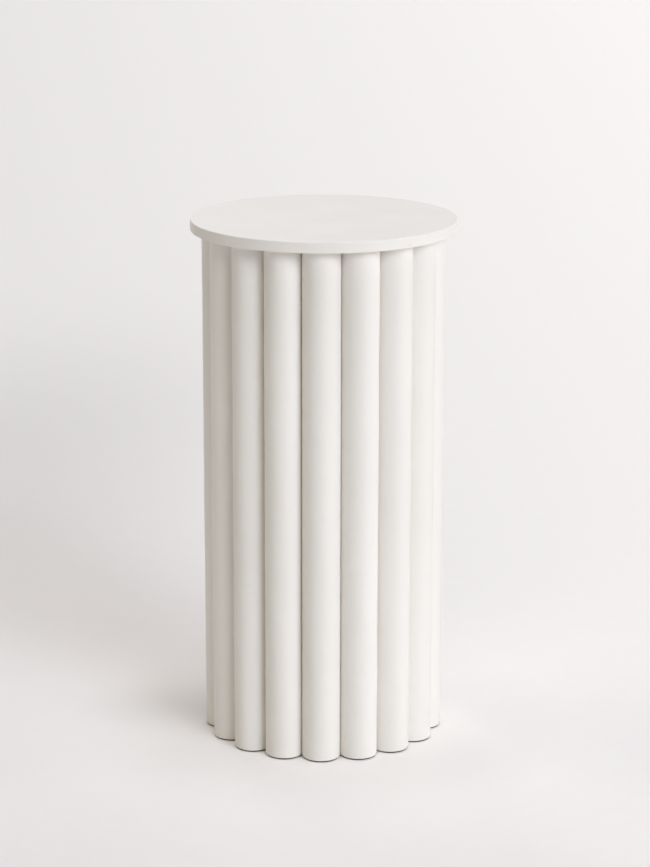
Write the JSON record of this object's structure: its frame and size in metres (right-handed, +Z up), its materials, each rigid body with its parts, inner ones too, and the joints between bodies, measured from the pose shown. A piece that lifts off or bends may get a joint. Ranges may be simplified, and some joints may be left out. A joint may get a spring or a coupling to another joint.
{
  "type": "reeded column pedestal",
  "caption": "Floor-standing display pedestal: a thin round top on a ring of full-round upright posts, all in matt off-white paint, each post on a thin dark pad.",
  "frame": {"origin": "on the floor at the centre of the ring of posts, straight below the centre of the round top", "axes": "+Z up along the pedestal; -Y towards the front, where the first post stands; +X to the right as seen from the front"},
  "size_m": [0.353, 0.353, 0.7045],
  "materials": {
    "paint": "matte",
    "pad": "matte"
  },
  "bodies": {
    "root": {"top": "paint", "post_01": "paint", "post_02": "paint", "post_03": "paint", "post_04": "paint", "post_05": "paint", "post_06": "paint", "post_07": "paint", "post_08": "paint", "post_09": "paint", "post_10": "paint", "post_11": "paint", "post_12": "paint", "post_13": "paint", "post_14": "paint", "post_15": "paint", "post_16": "paint", "post_17": "paint", "pad_01": "pad", "pad_02": "pad", "pad_03": "pad", "pad_04": "pad", "pad_05": "pad", "pad_06": "pad", "pad_07": "pad", "pad_08": "pad", "pad_09": "pad", "pad_10": "pad", "pad_11": "pad", "pad_12": "pad", "pad_13": "pad", "pad_14": "pad", "pad_15": "pad", "pad_16": "pad", "pad_17": "pad"}
  },
  "joints": []
}
